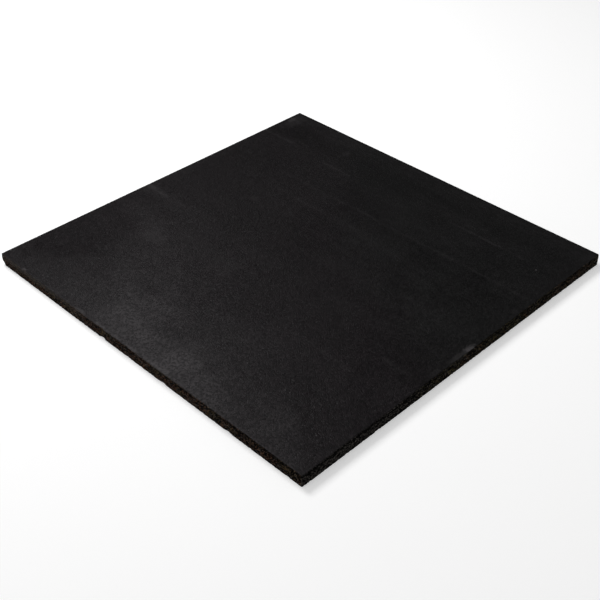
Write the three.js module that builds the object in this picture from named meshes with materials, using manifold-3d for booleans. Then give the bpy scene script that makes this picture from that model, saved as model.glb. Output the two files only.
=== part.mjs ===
// A rubber gym floor tile: one square slab, pressed in a single piece from black rubber crumb and binder.
// Millimetres, +Z up. The origin is the middle of the underside, where the tile lies on the floor.
import * as THREE from "three";
import { mergeVertices } from "three/addons/utils/BufferGeometryUtils.js";
import Module from "manifold-3d";

// Size over the four edges, and from the underside to the face that people train on.
const TILE_LENGTH = 1000; // along X
const TILE_WIDTH = 1000; // along Y
const TILE_THICKNESS = 30; // along Z

// The press mould leaves no edge sharp: it eases the walked-on side the most, and the underside a little.
const CORNER_RADIUS = 4; // the upright corners, seen from above
const TOP_ARRIS_RADIUS = 2.5; // where the top turns down into the edges
const BOTTOM_ARRIS_RADIUS = 1; // where the edges meet the underside
const CORNER_OVER_ARRIS = 0.2; // a corner is always this much rounder than the arrises that run round it

// How finely the round stretches are divided.
const CORNER_STEPS = 4; // an arc takes two chords for each
const TOP_ARRIS_STEPS = 6;
const BOTTOM_ARRIS_STEPS = 3;

const QUARTER_TURN = Math.PI / 2;

const manifold = await Module();
manifold.setup();

// The tile seen from above, anticlockwise: four straight edges joined by the round corners.
function tileOutline() {
  const widestArris = Math.max(TOP_ARRIS_RADIUS, BOTTOM_ARRIS_RADIUS);
  const radius = Math.max(CORNER_RADIUS, widestArris + CORNER_OVER_ARRIS);
  const centreX = TILE_LENGTH / 2 - radius;
  const centreY = TILE_WIDTH / 2 - radius;
  const outline = new THREE.Shape();
  outline.absarc(centreX, centreY, radius, 0, QUARTER_TURN);
  outline.absarc(-centreX, centreY, radius, QUARTER_TURN, 2 * QUARTER_TURN);
  outline.absarc(-centreX, -centreY, radius, 2 * QUARTER_TURN, 3 * QUARTER_TURN);
  outline.absarc(centreX, -centreY, radius, 3 * QUARTER_TURN, 4 * QUARTER_TURN);
  return outline;
}

// A block of the tile's outline from height `low` to height `high`, with one round arris at both ends.
function easedBlock(low, high, arrisRadius, arrisSteps) {
  const block = new THREE.ExtrudeGeometry(tileOutline(), {
    depth: high - low - 2 * arrisRadius,
    curveSegments: CORNER_STEPS,
    bevelThickness: arrisRadius,
    bevelSize: arrisRadius,
    bevelOffset: -arrisRadius,
    bevelSegments: arrisSteps,
  });
  return block.translate(0, 0, low + arrisRadius);
}

function toSolid(geometry) {
  geometry.deleteAttribute("normal");
  geometry.deleteAttribute("uv");
  const merged = mergeVertices(geometry);
  const vertProperties = new Float32Array(merged.attributes.position.array);
  const triVerts = new Uint32Array(merged.index.array);
  return new manifold.Manifold(new manifold.Mesh({ numProp: 3, vertProperties, triVerts }));
}

function toGeometry(solid) {
  const { vertProperties, triVerts } = solid.getMesh();
  const geometry = new THREE.BufferGeometry();
  geometry.setAttribute("position", new THREE.BufferAttribute(vertProperties, 3));
  geometry.setIndex(new THREE.BufferAttribute(triVerts, 1));
  geometry.computeVertexNormals();
  return geometry;
}

// The two arrises differ, so the slab is what two blocks share. One ends in the top arris at the tile's top,
// the other in the bottom arris at its underside, and each runs a tile's thickness past the other's end.
function slabGeometry() {
  const easedAtTop = easedBlock(-TILE_THICKNESS, TILE_THICKNESS, TOP_ARRIS_RADIUS, TOP_ARRIS_STEPS);
  const easedAtBottom = easedBlock(0, 2 * TILE_THICKNESS, BOTTOM_ARRIS_RADIUS, BOTTOM_ARRIS_STEPS);
  return toGeometry(toSolid(easedAtTop).intersect(toSolid(easedAtBottom)));
}

const crumbRubber = new THREE.MeshStandardMaterial({ color: 0x201e1e, roughness: 0.7, metalness: 0 });

const slab = new THREE.Mesh(slabGeometry(), crumbRubber);
slab.name = "tile_slab";

const tile = new THREE.Group();
tile.add(slab);

export default tile;
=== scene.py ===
import math

import bmesh
import bpy
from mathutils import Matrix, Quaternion, Vector


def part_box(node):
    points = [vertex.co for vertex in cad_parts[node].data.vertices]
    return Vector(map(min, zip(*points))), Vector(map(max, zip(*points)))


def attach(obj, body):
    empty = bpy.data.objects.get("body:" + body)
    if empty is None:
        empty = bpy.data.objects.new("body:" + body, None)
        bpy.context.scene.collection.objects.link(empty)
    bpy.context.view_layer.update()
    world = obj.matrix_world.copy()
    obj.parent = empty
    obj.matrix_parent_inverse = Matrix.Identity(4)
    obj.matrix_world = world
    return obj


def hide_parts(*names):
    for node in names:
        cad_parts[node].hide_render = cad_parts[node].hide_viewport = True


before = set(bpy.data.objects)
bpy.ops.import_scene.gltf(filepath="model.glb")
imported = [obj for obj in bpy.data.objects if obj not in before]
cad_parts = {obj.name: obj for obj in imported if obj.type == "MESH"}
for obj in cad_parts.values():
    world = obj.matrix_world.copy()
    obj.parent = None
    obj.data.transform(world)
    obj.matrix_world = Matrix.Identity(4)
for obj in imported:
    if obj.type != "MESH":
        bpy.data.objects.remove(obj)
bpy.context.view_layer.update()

low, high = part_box("tile_slab")

# Camera
# It stands off one corner of the tile and looks down on the walked-on face, so that the tile lies as a
# diamond with two of its sides in view.
CAMERA_AZIMUTH = math.radians(-45.384)
CAMERA_ELEVATION = math.radians(37.759)
CAMERA_ROLL = math.radians(0.316)
CAMERA_DISTANCE = 2.402
CAMERA_LENS_MM = 63.43
CAMERA_REACH = 100
AIM = Vector((-0.1000, -0.0974, 0))

away = Vector((
    math.sin(CAMERA_AZIMUTH) * math.cos(CAMERA_ELEVATION),
    -math.cos(CAMERA_AZIMUTH) * math.cos(CAMERA_ELEVATION),
    math.sin(CAMERA_ELEVATION),
))
bpy.ops.object.select_all(action="DESELECT")
bpy.ops.object.camera_add(location=AIM + away * CAMERA_DISTANCE)
camera = bpy.context.object
camera.name = "camera"
camera.rotation_mode = "QUATERNION"
camera.rotation_quaternion = (-away).to_track_quat("-Z", "Y") @ Quaternion((0, 0, 1), CAMERA_ROLL)
camera.data.lens = CAMERA_LENS_MM
camera.data.clip_end = CAMERA_REACH
bpy.context.scene.camera = camera

# The slab's body
# One pressing of black rubber crumb and binder. The mould eases its corners and arrises. The surface is cut
# fine towards the four sides, which are open and crumbly, and coarse over the two closed faces.
CORNER_ROUND = 0.004
CORNER_SEGMENTS = 4
TOP_ROUND = 0.0025
TOP_SEGMENTS = 3
BOTTOM_ROUND = 0.001
BOTTOM_SEGMENTS = 2
FINE_CELL = 0.0016
SIDE_ROWS = 16
BAND_CELLS = (1, 2, 4, 8)  # where the cuts beside an arris lie, in fine cells from it
STRAIGHT = 0.99  # how much of an edge's length has to run along a side for the edge to follow it
UNCUT = 0.75  # an edge longer than this much of a cell hasn't been halved yet

bpy.ops.object.select_all(action="DESELECT")
bpy.ops.mesh.primitive_cube_add(size=1, location=(low + high) / 2, scale=high - low)
slab = bpy.context.object
slab.name = slab.data.name = "rubber_tile"
bpy.ops.object.transform_apply(location=True, rotation=True, scale=True)
bpy.ops.object.mode_set(mode="EDIT")


def pick(kind, test):
    """Selects the slab's parts of one kind, verts or edges, whose points all pass the test."""
    bpy.ops.mesh.select_mode(type={"verts": "VERT", "edges": "EDGE"}[kind])
    bpy.ops.mesh.select_all(action="DESELECT")
    shape = bmesh.from_edit_mesh(slab.data)
    for part in getattr(shape, kind):
        points = [part.co] if kind == "verts" else [vert.co for vert in part.verts]
        part.select_set(test(*points))
    bmesh.update_edit_mesh(slab.data)


def cut(axis, places):
    """Cuts the slab all over, square to an axis, at each place along it."""
    for where in places:
        point = Vector((0, 0, 0))
        point[axis] = where
        across = Vector((0, 0, 0))
        across[axis] = 1
        bpy.ops.mesh.select_all(action="SELECT")
        bpy.ops.mesh.bisect(plane_co=point, plane_no=across)


SAME = 1e-5  # two heights this close are one
pick("edges", lambda a, b: abs(a.z - b.z) > (high.z - low.z) / 2)
bpy.ops.mesh.bevel(offset=CORNER_ROUND, segments=CORNER_SEGMENTS, affect="EDGES")
pick("edges", lambda a, b: min(a.z, b.z) > high.z - SAME)
bpy.ops.mesh.bevel(offset=TOP_ROUND, segments=TOP_SEGMENTS, affect="EDGES")
pick("edges", lambda a, b: max(a.z, b.z) < low.z + SAME)
bpy.ops.mesh.bevel(offset=BOTTOM_ROUND, segments=BOTTOM_SEGMENTS, affect="EDGES")

band = [TOP_ROUND + FINE_CELL * cells for cells in BAND_CELLS]
widest_cell = FINE_CELL * BAND_CELLS[-1]
for axis in (0, 1):
    ends = [side * (high[axis] - depth) for depth in band for side in (-1, 1)]
    inner = high[axis] - band[-1]
    columns = round(2 * inner / widest_cell)
    cut(axis, ends + [inner * (2 * k / columns - 1) for k in range(1, columns)])
flat_low, flat_high = low.z + BOTTOM_ROUND, high.z - TOP_ROUND
cut(2, [flat_low + (flat_high - flat_low) * k / SIDE_ROWS for k in range(1, SIDE_ROWS)])


def runs_beside(a, b, depth, shortest):
    """Whether an edge follows a side of the slab within a depth of it, and is long enough to be halved."""
    along = b - a
    middle = (a + b) / 2
    for axis, across in ((0, 1), (1, 0)):
        if abs(along[axis]) > shortest and abs(along[axis]) > STRAIGHT * along.length:
            return high[across] - abs(middle[across]) < depth + SAME
    return False


# The nearer to a side, the more often the edges along it are halved.
for fine_cells, depth in reversed(list(zip(BAND_CELLS[1:], band[1:]))):
    pick("edges", lambda a, b: runs_beside(a, b, depth, UNCUT * fine_cells * FINE_CELL))
    bpy.ops.mesh.subdivide(number_cuts=1)

# The dense rubber just under the top skin has shrunk back a little all round.
RECESS_DEPTH = 0.0007
RECESS_TOP = 0.0035
RECESS_BOTTOM = 0.0075
keep = 1 - RECESS_DEPTH / high.x


def on_dense_band(v):
    """Whether a point lies on one of the four sides, in the band under the top skin."""
    on_a_side = max(abs(v.x), abs(v.y)) > high.x - SAME
    return on_a_side and high.z - RECESS_BOTTOM < v.z < high.z - RECESS_TOP


pick("verts", on_dense_band)
bpy.ops.transform.resize(value=(keep, keep, 1), center_override=(0, 0, 0))

# The slab's wear
# Crumbs have been knocked out of the lower arris where the tile was dragged and stood on edge. The corner
# that it is turned on most is rubbed round.
NICK_WIDTH = 0.009
NICK_INWARDS = 0.7  # how far a nick reaches into its side, for each part that it reaches up
# Where along its side each nick lies, and how high it reaches.
LEFT_NICKS = ((0.108, 0.0022), (0.02, 0.0006), (-0.097, 0.0017), (-0.297, 0.0012))
RIGHT_NICKS = ((-0.29, 0.0008), (0.313, 0.0011))
RUBBED_CORNER_REACH = 0.013
RUBBED_CORNER_DEPTH = 0.003
RUBBED_CORNER_LIFT = 0.6  # how far the rubbing reaches up, for each part that it reaches in
FROM_ARRIS = 0.0012  # how close to the arris a point has to be for a knock to take hold of it


def push_in(centre, push, reach):
    """Moves the lower arris near a point inwards, with its surroundings, as a knock would."""
    pick("verts", lambda v: v.z < low.z + FROM_ARRIS and (v.xy - centre.xy).length < 2 * FROM_ARRIS)
    bpy.ops.transform.translate(
        value=push,
        use_proportional_edit=True,
        proportional_edit_falloff="SMOOTH",
        proportional_size=reach,
    )


for along, reach_up in LEFT_NICKS:
    push_in(Vector((low.x, along, low.z)), (NICK_INWARDS * reach_up, 0, reach_up), NICK_WIDTH)
for along, reach_up in RIGHT_NICKS:
    push_in(Vector((along, low.y, low.z)), (0, NICK_INWARDS * reach_up, reach_up), NICK_WIDTH)
rubbed = Vector((1, -1, RUBBED_CORNER_LIFT)) * RUBBED_CORNER_DEPTH
push_in(Vector((low.x, high.y, low.z)), rubbed, RUBBED_CORNER_REACH)
bpy.ops.object.mode_set(mode="OBJECT")

# The slab's relief
# The mould presses the top nearly flat. The sides are open crumb: clumps stand out, single crumbs have
# gone, and the cut line wanders a little along each side. Everything sinks inwards from the mould's size.
WANDER_DEPTH = 0.0003
CRUMB_DEPTH = 0.0004
CLUMP_DEPTH = 0.0012
TOP_WAVE_DEPTH = 0.0003
SMOOTHED_UNDER = math.radians(60)

sides = slab.vertex_groups.new(name="open_sides")
top = slab.vertex_groups.new(name="closed_top")
for vert in slab.data.vertices:
    from_side = min(high.x - abs(vert.co.x), high.y - abs(vert.co.y))
    openness = max(0, 1 - from_side / TOP_ROUND)
    sides.add([vert.index], openness, "REPLACE")
    top.add([vert.index], 1 if vert.co.z > high.z / 2 and openness < 1 else 0, "REPLACE")


def sink(group, depth, kind, **texture_settings):
    """Sinks a group of the slab's points by up to a depth, as a solid texture says, and raises none."""
    texture = bpy.data.textures.new(kind.lower() + "_relief", kind)
    texture.use_clamp = True
    for setting, value in texture_settings.items():
        setattr(texture, setting, value)
    modifier = slab.modifiers.new("relief", "DISPLACE")
    modifier.texture = texture
    modifier.texture_coords = "LOCAL"
    modifier.vertex_group = group
    modifier.mid_level = 0
    modifier.strength = -depth
    bpy.ops.object.modifier_apply(modifier=modifier.name)


sink("open_sides", WANDER_DEPTH, "CLOUDS", noise_scale=0.13, noise_depth=1)
sink("open_sides", CRUMB_DEPTH, "VORONOI", noise_scale=0.0045)
sink("open_sides", CLUMP_DEPTH, "CLOUDS", noise_scale=0.0042, noise_depth=0, contrast=3.5, intensity=0.4)
sink("closed_top", TOP_WAVE_DEPTH, "CLOUDS", noise_scale=0.16, noise_depth=1)
bpy.ops.object.shade_smooth_by_angle(angle=SMOOTHED_UNDER)

# The slab's finish
# Matt black crumb, a few millimetres to the grain. On top it is pressed into a closed, faintly pebbled skin
# with dust in it, and painted sheen in places. The sides show brownish open crumb under a blacker zone
# below
# the top arris: a denser layer, darkened further with painted shade.
CRUMB = 0.0038
CUT_CRUMB = 0.0028  # as crumbs show on the sides, where a cut takes most of them off their middles
GAP_WIDTH = 0.20  # of the crumb's own size
FLATTENED = 1.5
WARP = 0.0014
TOP_ROUGHNESS = 0.40
TOP_ROUGHNESS_SPREAD = 0.11  # from crumb to crumb, where the top's contrast is 1
DUST_ROUGHENS = 0.3
SIDE_ROUGHNESS = 0.95
SIDE_ROUGHNESS_SPREAD = 0.1
CLOSED_GLOSS = 0.14
OPEN_GLOSS = 0.02
TOP_DARK = (0.0061, 0.0059, 0.0060)
TOP_LIGHT = (0.0153, 0.0148, 0.0150)
TOP_WARMTH = (1.06, 0.86, 0.965)  # what the top's colour is multiplied by where it is warmest
SIDE_BLACK = (0.0010, 0.0009, 0.0008)
SIDE_GREY = (0.0790, 0.0730, 0.0680)
SIDE_RED = (0.1230, 0.0650, 0.0400)
SIDE_OLIVE = (0.0940, 0.0775, 0.0370)
# The grey of dust, which also paints sheen in broad patches on the top.
DUST_AND_SHEEN = (0.0850, 0.0790, 0.0820)
# How far single features stand up from the rubber, or lie back in it.
TOP_CRUMB_RISE = 0.00036
TOP_GRAIN_RISE = 0.00020
TOP_SEAM_DEPTH = 0.00028
SIDE_CRUMB_RISE = 0.0006
SIDE_GAP_DEPTH = 0.0008
UNDER_CRUMB_RISE = 0.0002
UNDER_SEAM_DEPTH = 0.0003
GRIT_RISE = 0.00009
SIDE_GRIT_RISE = 0.00025  # added to the other on the open sides


class Wire:
    """An output of a material's node. Arithmetic on it adds Math nodes, and node() adds any other."""

    def __init__(self, socket):
        self.socket = socket

    def node(self, kind, settings, inputs):
        tree = self.socket.id_data
        made = tree.nodes.new(kind)
        for name, value in settings.items():
            setattr(made, name, value)
        for name, value in inputs.items():
            if isinstance(value, Wire):
                tree.links.new(value.socket, made.inputs[name])
            else:
                made.inputs[name].default_value = value
        return Wire(made.outputs[0])

    def output(self, name):
        return Wire(self.socket.node.outputs[name])

    def math(self, operation, *values):
        return self.node("ShaderNodeMath", {"operation": operation}, dict(enumerate(values)))

    def __add__(self, other):
        return self.math("ADD", self, other)

    def __radd__(self, other):
        return self.math("ADD", other, self)

    def __sub__(self, other):
        return self.math("SUBTRACT", self, other)

    def __rsub__(self, other):
        return self.math("SUBTRACT", other, self)

    def __mul__(self, other):
        return self.math("MULTIPLY", self, other)

    def __rmul__(self, other):
        return self.math("MULTIPLY", other, self)

    def __neg__(self):
        return self.math("MULTIPLY", self, -1)

    def __abs__(self):
        return self.math("ABSOLUTE", self)

    def rise(self, start, end):
        """0 before start and 1 past end, and smooth between them."""
        return self.node(
            "ShaderNodeMapRange",
            {"interpolation_type": "SMOOTHSTEP"},
            {"Value": self, "From Min": start, "From Max": end},
        )

    def hump(self, middle, reach):
        """1 at the middle, smoothly down to 0 a reach away from it."""
        return 1 - abs(self - middle).rise(0, reach)

    def between(self, start, end):
        """The colour that lies this share of the way from one colour to another."""
        settings = {"data_type": "RGBA"}  # so that inputs 6 and 7 are the two that it mixes
        return self.node("ShaderNodeMix", settings, {0: self, 6: start, 7: end}).output("Result")

    def times(self, start, factors):
        """A colour, with this share of the change that multiplying it by the factors makes."""
        settings = {"data_type": "RGBA", "blend_type": "MULTIPLY"}
        return self.node("ShaderNodeMix", settings, {0: self, 6: start, 7: factors}).output("Result")


def colour(rgb):
    return (*rgb, 1)


rubber = bpy.data.materials.new("pressed_rubber_crumb")
rubber.use_nodes = True
place = Wire(rubber.node_tree.nodes.new("ShaderNodeTexCoord").outputs["Object"])


def noise(period, detail=2, squeeze=(1, 1, 1)):
    """Cloudy noise from about 0 to 1, with its period in metres along each axis times the squeeze."""
    scaled = place.node("ShaderNodeVectorMath", {"operation": "MULTIPLY"}, {0: place, 1: squeeze})
    return place.node("ShaderNodeTexNoise", {}, {"Vector": scaled, "Scale": 1 / period, "Detail": detail})


axes = place.node("ShaderNodeSeparateXYZ", {}, {"Vector": place})
x, y, z = axes, axes.output("Y"), axes.output("Z")

# Which of the slab's surfaces a point is on, with right and left as the camera sees them. Each fades into
# the next over the arris between them.
SKIN_START = 0.0010  # below the top
SKIN_WHOLE = 0.0003  # below the top
UNDERSIDE_WHOLE = 0.0004  # above the floor
UNDERSIDE_END = 0.0012  # above the floor
SIDE_START = 0.006  # in from the side
SIDE_WHOLE = 0.002  # in from the side
on_top = z.rise(high.z - SKIN_START, high.z - SKIN_WHOLE)
on_underside = 1 - z.rise(low.z + UNDERSIDE_WHOLE, low.z + UNDERSIDE_END)
on_side = 1 - on_top - on_underside
on_right = (-y).rise(high.y - SIDE_START, high.y - SIDE_WHOLE)
on_left = (-x).rise(high.x - SIDE_START, high.x - SIDE_WHOLE)
# Along each of those two sides, 0 near the corner that they share and 1 well past it.
further_right = x.rise(-0.35, -0.10)
further_left = y.rise(-0.35, -0.15)

# The crumbs: pressed flat and bent a little.
bend = noise(0.0028, 1).output("Color")
bend = place.node("ShaderNodeVectorMath", {"operation": "MULTIPLY"}, {0: bend, 1: (WARP, WARP, WARP)})
pressed = place.node("ShaderNodeVectorMath", {"operation": "MULTIPLY"}, {0: place, 1: (1, 1, FLATTENED)})
bent = place.node("ShaderNodeVectorMath", {"operation": "ADD"}, {0: pressed, 1: bend})


def cells(feature, size):
    return bent.node("ShaderNodeTexVoronoi", {"feature": feature}, {"Vector": bent, "Scale": 1 / size})


def crumbs(size):
    """A tone and a tint for each crumb, and the narrow gaps that part them."""
    shades = bent.node("ShaderNodeSeparateColor", {}, {"Color": cells("F1", size).output("Color")})
    return shades, shades.output("Green"), 1 - cells("DISTANCE_TO_EDGE", size).rise(0, GAP_WIDTH)


tone, tint, gap = crumbs(CRUMB)
cut_tone, cut_tint, cut_gap = crumbs(CUT_CRUMB)
grit = noise(0.0011, 2)
grain = noise(0.0045, 2)
mottle = noise(0.011, 2)
drift = noise(0.040, 3, (1.5, 0.7, 1))
cloud = noise(0.11, 3)
layers = noise(0.014, 1, (1, 1, 4))
combed = (noise(0.024, 2, (1, 0.07, 1)) - 0.5) * 0.35 + (noise(0.10, 2, (1, 0.15, 1)) - 0.5) * 0.60

# Top: black crumbs of many shades with darker seams, in faintly cloudy patches and combed along one
# direction. They are more even to one side: their contrast is strongest towards the front corner and along
# the left side, where the sheen falls, and there it partly paints the sheen's glint on the crumbs.
contrast = 1.85 - x.rise(-0.30, 0.35) * 0.95 - y.rise(-0.45, 0.05) * 0.4
lightness = tone * 0.8 - gap * 0.25 - 0.28 + (grain - 0.5) * 0.60 + (mottle - 0.5) * 0.25
lightness = 0.30 + lightness * contrast + (drift - 0.5) * 0.40 + (cloud - 0.5) * 0.25 + combed
crumb_colour = lightness.between(colour(TOP_DARK), colour(TOP_LIGHT))

# Dust lies in faint streaks along one direction of the tile. Each streak has the line it keeps to, its half
# width, where it starts and ends, and how dusty it is.
STREAKS = (
    (-0.060, 0.013, 0.395, 0.560, 0.28),
    (-0.060, 0.012, 0.310, 0.440, 0.07),
    (0.236, 0.008, -0.500, 0.130, 0.07),
    (0.232, 0.010, 0.060, 0.330, 0.045),
    (0.358, 0.008, 0.340, 0.560, 0.12),
    (0.342, 0.010, 0.130, 0.290, 0.09),
    (0.356, 0.007, -0.420, -0.150, 0.11),
    (0.166, 0.009, 0.070, 0.270, 0.07),
    (-0.145, 0.008, -0.490, -0.330, 0.09),
    (-0.220, 0.007, -0.420, 0.010, 0.05),
    (-0.150, 0.055, 0.030, 0.560, 0.06),
    (-0.076, 0.035, -0.360, 0.560, 0.04),
    (0.378, 0.040, -0.560, -0.020, 0.04),
    (0.475, 0.055, -0.560, 0.560, 0.06),
)
STREAK_FADE = 0.05
waver = (noise(0.13, 1, (0.2, 1, 1)) - 0.5) * 0.010
patchy = 0.3 + noise(0.016, 3, (1.6, 0.5, 1)).rise(0.36, 0.64) * 0.7
dust_and_sheen = noise(0.2, 3).rise(0.45, 0.8) * 0.03
for line, half_width, start, end, share in STREAKS:
    length = y.rise(start, start + STREAK_FADE) * (1 - y.rise(end - STREAK_FADE, end))
    dust_and_sheen = dust_and_sheen + (x + waver).hump(line, half_width) * length * patchy * share


def patch(middle_x, middle_y, reach_x, reach_y, share, rag):
    """An oval patch that fades out from its middle, as ragged as the noise makes it."""
    across = (x - middle_x) * (1 / reach_x)
    along = (y - middle_y) * (1 / reach_y)
    return (1 - (across * across + along * along + rag).rise(0.0, 1)) * share


# Small smudges and scuffs: each one's middle, its reach along both edges and how dusty it is.
SMUDGES = (
    (-0.198, 0.293, 0.032, 0.047, 0.11),
    (-0.180, 0.340, 0.045, 0.045, 0.06),
    (0.445, 0.470, 0.060, 0.026, 0.10),
    (0.452, 0.483, 0.018, 0.010, 0.16),
    (0.422, 0.243, 0.018, 0.012, 0.07),
    (0.092, 0.253, 0.014, 0.019, 0.07),
    (0.127, -0.052, 0.014, 0.021, 0.05),
    (-0.498, 0.408, 0.007, 0.013, 0.70),
    (-0.498, 0.186, 0.008, 0.020, 0.42),
    (-0.497, 0.117, 0.009, 0.024, 0.50),
    (-0.498, 0.064, 0.008, 0.016, 0.42),
    (-0.498, 0.012, 0.008, 0.020, 0.42),
    (-0.497, -0.085, 0.008, 0.050, 0.40),
    (0.340, -0.430, 0.0035, 0.0035, 0.60),
    (0.009, -0.4935, 0.020, 0.0110, 0.66),
    (-0.022, -0.4950, 0.046, 0.0100, 0.22),
    (-0.103, -0.4900, 0.020, 0.0080, 0.10),
    (0.177, -0.4870, 0.012, 0.0090, 0.08),
)
torn = (cloud - 0.5) * 1.5 + (mottle - 0.5) * 1.6 + (grain - 0.5) * 1.2
for smudge in SMUDGES:
    dust_and_sheen = dust_and_sheen + patch(*smudge, torn)

# Broad patches held on the crumbs' tops: greyer with fine dust, and lighter with painted sheen, mostly
# along the left side where the light's reflection is brightest.
DUST_AND_SHEEN_PATCHES = (
    (-0.500, -0.020, 0.350, 0.400, 0.14),
    (-0.425, 0.088, 0.130, 0.110, 0.26),
    (-0.440, 0.110, 0.060, 0.045, 0.14),
    (-0.460, -0.100, 0.110, 0.050, 0.16),
    (-0.505, -0.095, 0.055, 0.080, 0.20),
    (-0.500, -0.080, 0.130, 0.200, 0.30),
    (-0.500, -0.250, 0.110, 0.300, 0.20),
    (-0.470, 0.265, 0.090, 0.080, 0.08),
    (-0.310, 0.200, 0.130, 0.100, 0.11),
    (-0.240, 0.270, 0.130, 0.110, 0.05),
    (0.200, 0.490, 0.340, 0.030, 0.03),
    (0.320, 0.215, 0.130, 0.090, 0.02),
    (0.270, 0.290, 0.220, 0.240, 0.03),
)
crumb_top_share = 0.3 + tone.rise(0.15, 0.85) * 0.7
soft = (cloud - 0.5) * 1.5 + (drift - 0.5) * 1.2 + (mottle - 0.5) * 0.5
for dust_and_sheen_patch in DUST_AND_SHEEN_PATCHES:
    dust_and_sheen = dust_and_sheen + patch(*dust_and_sheen_patch, soft) * crumb_top_share

# Broad patches that are worn duller, so that they return less of the light.
DULL_PATCHES = (
    (-0.310, 0.475, 0.230, 0.170, 0.36),
    (-0.460, 0.370, 0.190, 0.150, 0.10),
    (-0.310, 0.090, 0.070, 0.080, 0.18),
    (-0.450, 0.020, 0.045, 0.060, 0.14),
    (-0.340, -0.200, 0.070, 0.060, 0.12),
    (0.100, -0.120, 0.260, 0.240, 0.14),
    (0.280, -0.080, 0.150, 0.220, 0.24),
    (0.200, -0.280, 0.240, 0.130, 0.26),
    (-0.370, 0.250, 0.060, 0.050, 0.16),
    (-0.230, -0.080, 0.080, 0.160, 0.10),
    (0.000, -0.440, 0.360, 0.200, 0.34),
)
dull = 0
for dull_patch in DULL_PATCHES:
    dull = dull + patch(*dull_patch, soft)

# The rubber is faintly purple, and turns neutral towards one corner.
warm = (1 - (x - y * 0.67 + (cloud - 0.5) * 0.3).rise(0.05, 0.37)) * (1 - x.rise(-0.3, 0.4) * 0.4)
top_colour = warm.times(crumb_colour, colour(TOP_WARMTH))
# Dust, and the painted sheen of the broad patches, turn the top towards one light grey.
top_colour = dust_and_sheen.between(top_colour, colour(DUST_AND_SHEEN))

# Sides: brown, grey and black crumbs in patches. The right side has little brown over its first quarter,
# and over its own first quarter the left one is a little blacker and less red.
near_left = on_left * (1 - further_left)
patches = 0.6 + noise(0.022, 2).rise(0.30, 0.65) * 0.4
brown = cut_tint.rise(0.10, 0.50) * patches * (1 - on_right * (1 - x.rise(-0.26, -0.05)) * 0.9)
reddish = noise(0.045, 1) - on_right * 0.10 - near_left * 0.06
reddish = reddish.rise(0.34, 0.50) * 0.60 + 0.40 * (1 - on_right)
side_colour = brown.between(colour(SIDE_GREY), reddish.between(colour(SIDE_OLIVE), colour(SIDE_RED)))
dark_crumb = cut_tone - on_right * further_right * 0.07 - near_left * 0.07
dark_crumb = dark_crumb + (layers - 0.5) * 1.1
dark_crumb = 1 - dark_crumb.rise(0.33, 0.80) * (1 - cut_gap * 0.9)
side_colour = dark_crumb.between(side_colour, colour(SIDE_BLACK))
# The black band under the top arris: a denser layer, darkened further as painted shade, most over the
# first quarter of the right side, which faces away from the lights. Past that quarter it lies lower, and on
# the left it fades out. The lowest crumbs of all sides are painted black as contact shade.
BAND_DEPTH = 0.0045
BAND_REACH = 0.0040
BAND_DROP = 0.0022  # how much lower it lies on the right side
CONTACT_SHADE_WHOLE = 0.0020
CONTACT_SHADE_END = 0.0045
band_depth = BAND_DEPTH + on_right * x.rise(-0.40, -0.10) * BAND_DROP
dense_layer_and_shade = (high.z - z).hump(band_depth, BAND_REACH).rise(0.1, 0.5)
dense_layer_and_shade = dense_layer_and_shade * (1 - on_left * further_left * (1 - y.rise(0.25, 0.40) * 0.3))
# Painted contact shade: the lowest few millimetres of every side are painted black where the tile meets the
# floor.
contact_shade = 1 - z.rise(low.z + CONTACT_SHADE_WHOLE, low.z + CONTACT_SHADE_END)
# Painted shade: the band is blackest over the first quarter of the right side.
layer_and_shade_share = 0.55 + on_right * (1 - further_right) * 0.40
side_colour = (dense_layer_and_shade * layer_and_shade_share).between(side_colour, colour(SIDE_BLACK))
side_colour = contact_shade.between(side_colour, colour(SIDE_BLACK))
# The top arris is lighter grey past the first quarter of the left side, partly dust and partly painted
# sheen where the light from the left glances on the rounded arris, and dusty about the middle. At that
# side's far end the grey and its painted sheen reach lower.
arris = on_left * z.rise(high.z - 0.0030, high.z - 0.0014)
arris_dust_and_sheen = arris * further_left * (0.5 - y.rise(0.15, 0.35) * 0.35)
side_colour = arris_dust_and_sheen.between(side_colour, colour(SIDE_GREY))
side_colour = (arris * y.hump(0.06, 0.25) * mottle.rise(0.40, 0.55)).between(side_colour, colour(DUST_AND_SHEEN))
# Dust and painted sheen: a lighter grey band further down the left side's far end.
shelf_dust_and_sheen = on_left * y.rise(0.10, 0.30) * z.rise(high.z - 0.016, high.z - 0.008)
side_colour = (shelf_dust_and_sheen * 0.4).between(side_colour, colour(SIDE_GREY))
# One knock on each side has left dust below the arris.
knocked = on_left * y.hump(0.408, 0.016) * z.rise(high.z - 0.012, high.z - 0.002) * 0.8
knocked = knocked + on_right * x.hump(-0.035, 0.03) * z.rise(high.z - 0.020, high.z - 0.004) * 0.12
side_colour = (knocked * mottle.rise(0.35, 0.6)).between(side_colour, colour(DUST_AND_SHEEN))
# Underside: the same crumb, pressed flat, with neither dust nor brown.
open_colour = on_underside.between(side_colour, crumb_colour)
open_colour = on_top.between(open_colour, top_colour)

closed_roughness = TOP_ROUGHNESS + dust_and_sheen * DUST_ROUGHENS + (tint - 0.5) * contrast * TOP_ROUGHNESS_SPREAD
open_roughness = SIDE_ROUGHNESS + (cut_tint - 0.5) * SIDE_ROUGHNESS_SPREAD

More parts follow.
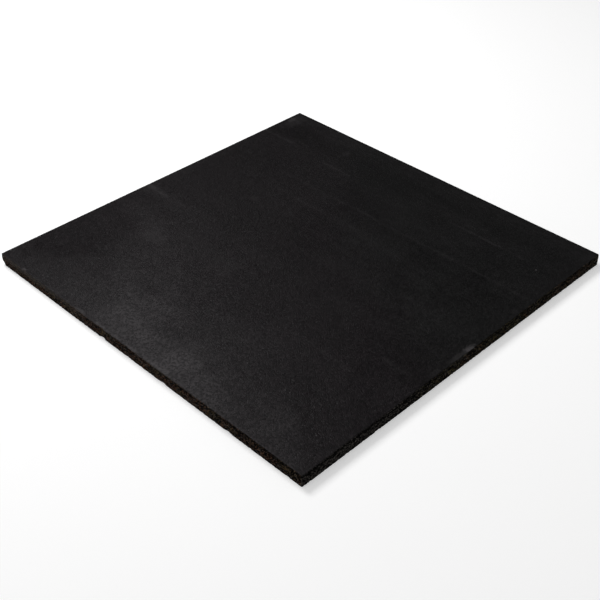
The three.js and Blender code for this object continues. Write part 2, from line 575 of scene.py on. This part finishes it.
# Relief that is too fine for the mesh, in metres: gaps between crumbs, and the grit of their faces.
open_share = on_side * (1 - dense_layer_and_shade * 0.6)
pebbles = tone * TOP_CRUMB_RISE - gap * TOP_SEAM_DEPTH + grain * TOP_GRAIN_RISE
pebbles = on_top * (0.40 + contrast * 0.42) * pebbles
height = open_share * (cut_tone * SIDE_CRUMB_RISE - cut_gap * SIDE_GAP_DEPTH) + pebbles
height = height + on_underside * (tone * UNDER_CRUMB_RISE - gap * UNDER_SEAM_DEPTH)
height = height + grit * (GRIT_RISE + open_share * SIDE_GRIT_RISE)
normal = place.node("ShaderNodeBump", {}, {"Height": height, "Strength": 1, "Distance": 1})
closed = rubber.node_tree.nodes["Principled BSDF"]
opened = rubber.node_tree.nodes.new("ShaderNodeBsdfPrincipled")
for surface, surface_colour, surface_roughness, gloss in (
    (closed, top_colour, closed_roughness, CLOSED_GLOSS),
    (opened, open_colour, open_roughness, OPEN_GLOSS),
):
    rubber.node_tree.links.new(surface_colour.socket, surface.inputs["Base Color"])
    rubber.node_tree.links.new(surface_roughness.socket, surface.inputs["Roughness"])
    rubber.node_tree.links.new(normal.socket, surface.inputs["Normal"])
    surface.inputs["Specular IOR Level"].default_value = gloss
skin = Wire(opened.outputs["BSDF"]).node("ShaderNodeMixShader", {}, {
    0: on_top * (1 - dull),
    1: Wire(opened.outputs["BSDF"]),
    2: Wire(closed.outputs["BSDF"]),
})
rubber.node_tree.links.new(skin.socket, rubber.node_tree.nodes["Material Output"].inputs["Surface"])
slab.data.materials.append(rubber)

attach(slab, "root")
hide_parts("tile_slab")

# Studio
# The tile lies on a plain pale floor. One soft light stands beyond it and puts a long sheen on the rubber.
# A broad one stands high on its left, and the broadest fills the near side. Beyond the floor the air looks
# as pale as it does, and lights nothing.
FLOOR_SIZE = 60
FLOOR_COLOUR = (0.90, 0.90, 0.90)
FLOOR_ROUGHNESS = 0.9
FLOOR_GLOW = 0.42
AIR_BRIGHTNESS = 0.64
WHITE = (1, 1, 1)
SHEEN_LIGHT_SIZE = 1.2
LEFT_LIGHT_BREADTH = math.radians(60)
NEAR_LIGHT_BREADTH = math.radians(160)

bpy.ops.object.select_all(action="DESELECT")
bpy.ops.mesh.primitive_plane_add(size=FLOOR_SIZE, location=(0, 0, low.z))
floor = bpy.context.object
floor.name = "floor"
pale = bpy.data.materials.new("pale_floor")
pale.use_nodes = True
coat = pale.node_tree.nodes["Principled BSDF"]
coat.inputs["Base Color"].default_value = colour(FLOOR_COLOUR)
coat.inputs["Roughness"].default_value = FLOOR_ROUGHNESS
coat.inputs["Emission Color"].default_value = colour(WHITE)
coat.inputs["Emission Strength"].default_value = FLOOR_GLOW
floor.data.materials.append(pale)


def add_lamp(name, kind, azimuth, elevation, distance, strength):
    """Adds a light that shines on the tile from a compass direction and height, both in degrees."""
    turn, rise = math.radians(azimuth), math.radians(elevation)
    towards = Vector((
        math.sin(turn) * math.cos(rise),
        -math.cos(turn) * math.cos(rise),
        math.sin(rise),
    ))
    bpy.ops.object.light_add(type=kind, location=towards * distance)
    lamp = bpy.context.object
    lamp.name = name
    lamp.rotation_mode = "QUATERNION"
    lamp.rotation_quaternion = (-towards).to_track_quat("-Z", "Y")
    lamp.data.energy = strength
    return lamp.data


sheen_light = add_lamp("sheen_light", "AREA", azimuth=181, elevation=56, distance=3.2, strength=55)
sheen_light.size = SHEEN_LIGHT_SIZE
left_light = add_lamp("left_light", "SUN", azimuth=-110, elevation=60, distance=3, strength=0.50)
left_light.angle = LEFT_LIGHT_BREADTH
near_light = add_lamp("near_light", "SUN", azimuth=-5, elevation=50, distance=3, strength=0.50)
near_light.angle = NEAR_LIGHT_BREADTH

air = bpy.data.worlds.new("air")
air.use_nodes = True
air.node_tree.nodes["Background"].inputs["Color"].default_value = colour(WHITE)
air.node_tree.nodes["Background"].inputs["Strength"].default_value = AIR_BRIGHTNESS
air.cycles_visibility.diffuse = False
air.cycles_visibility.glossy = False
bpy.context.scene.world = air
bpy.context.scene.view_settings.view_transform = "Standard"
